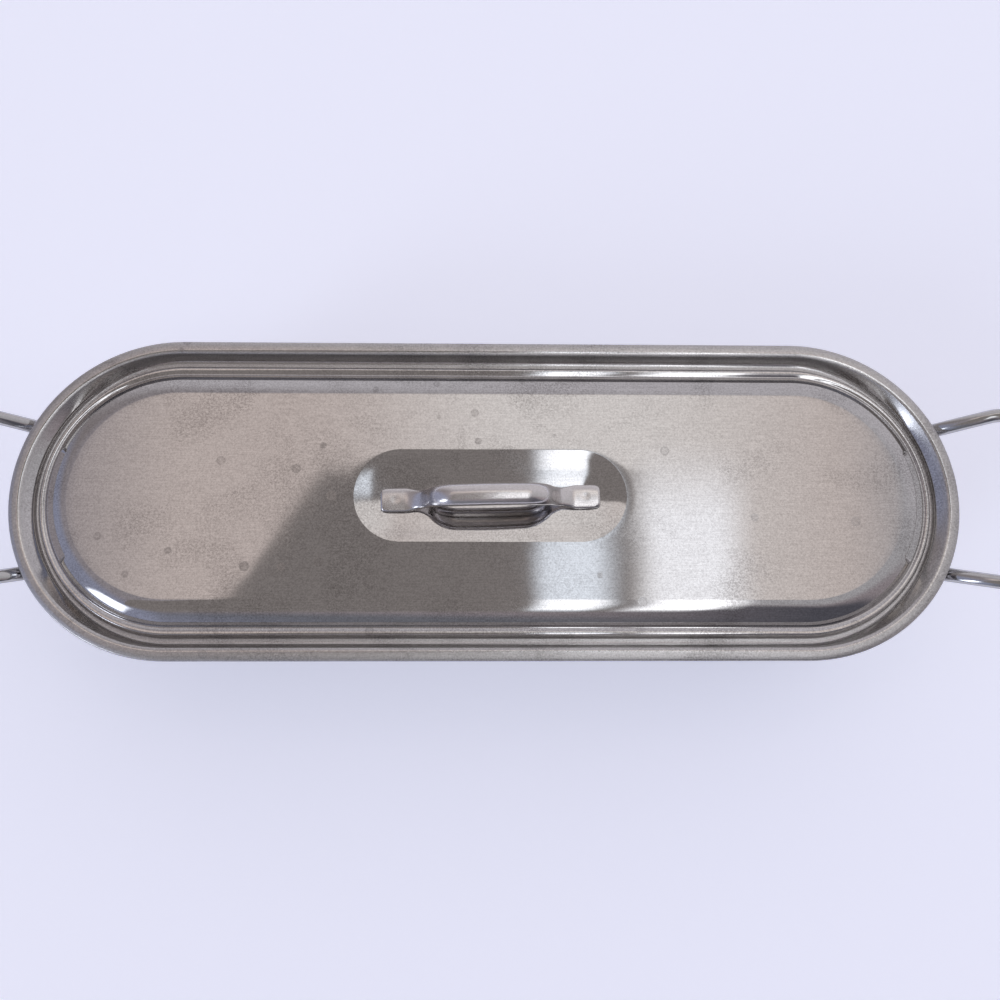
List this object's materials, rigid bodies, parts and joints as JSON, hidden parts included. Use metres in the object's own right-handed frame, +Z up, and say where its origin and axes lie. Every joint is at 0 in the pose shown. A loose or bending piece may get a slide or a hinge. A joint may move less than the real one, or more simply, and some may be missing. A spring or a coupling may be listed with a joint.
{
  "type": "fish poacher",
  "caption": "Long round-ended poaching pan with rod handles at its ends, a pressed lid with a strap handle, and a perforated lift-out rack with folding wire handles.",
  "frame": {"origin": "centre of the pan's underside, on the surface it stands on", "axes": "+X along the pan to its right-hand handle, +Y to the rear, +Z up through the lid handle"},
  "size_m": [0.607, 0.1714, 0.1264],
  "materials": {
    "pan_steel": "fine brushed stainless steel sheet",
    "lid_steel": "stainless steel sheet, faintly brushed along its length, with water marks",
    "strap_steel": "polished stainless steel strip",
    "rod_steel": "polished stainless steel rod",
    "plate_steel": "satin stainless steel plate",
    "rack_steel": "satin stainless steel sheet",
    "clip_steel": "satin stainless steel strip",
    "wire_steel": "polished stainless steel wire",
    "rivet_steel": "polished stainless steel rivets"
  },
  "bodies": {
    "pan": {"pan_body": "pan_steel", "pan_handle_left": "rod_steel", "pan_handle_right": "rod_steel", "pan_handle_plate_left": "plate_steel", "pan_handle_plate_right": "plate_steel"},
    "rack": {"rack_plate": "rack_steel", "rack_clip_left_front": "clip_steel", "rack_clip_left_rear": "clip_steel", "rack_clip_right_front": "clip_steel", "rack_clip_right_rear": "clip_steel", "rack_stop_left_front": "clip_steel", "rack_stop_left_rear": "clip_steel", "rack_stop_right_front": "clip_steel", "rack_stop_right_rear": "clip_steel", "rack_rivet_left_front_outer": "rivet_steel", "rack_rivet_left_front_inner": "rivet_steel", "rack_rivet_left_rear_outer": "rivet_steel", "rack_rivet_left_rear_inner": "rivet_steel", "rack_rivet_right_front_outer": "rivet_steel", "rack_rivet_right_front_inner": "rivet_steel", "rack_rivet_right_rear_outer": "rivet_steel", "rack_rivet_right_rear_inner": "rivet_steel"},
    "rack_bail_left": {"rack_handle_left": "wire_steel"},
    "rack_bail_right": {"rack_handle_right": "wire_steel"},
    "lid": {"lid_shell": "lid_steel", "lid_handle": "strap_steel"}
  },
  "joints": [
    {"name": "rack_lift", "type": "slide", "parent": "pan", "child": "rack", "axis": [0, 0, 1], "range_m": [0, 0.11]},
    {"name": "rack_handle_left_fold", "type": "hinge", "parent": "rack", "child": "rack_bail_left", "pos_m": [-0.2, 0, 0.0182], "axis": [0, 1, 0], "range_deg": [0, 92]},
    {"name": "rack_handle_right_fold", "type": "hinge", "parent": "rack", "child": "rack_bail_right", "pos_m": [0.2, 0, 0.0182], "axis": [0, -1, 0], "range_deg": [0, 92]},
    {"name": "lid_lift", "type": "slide", "parent": "rack", "child": "lid", "axis": [0, 0, 1], "range_m": [0, 0.12]}
  ]
}
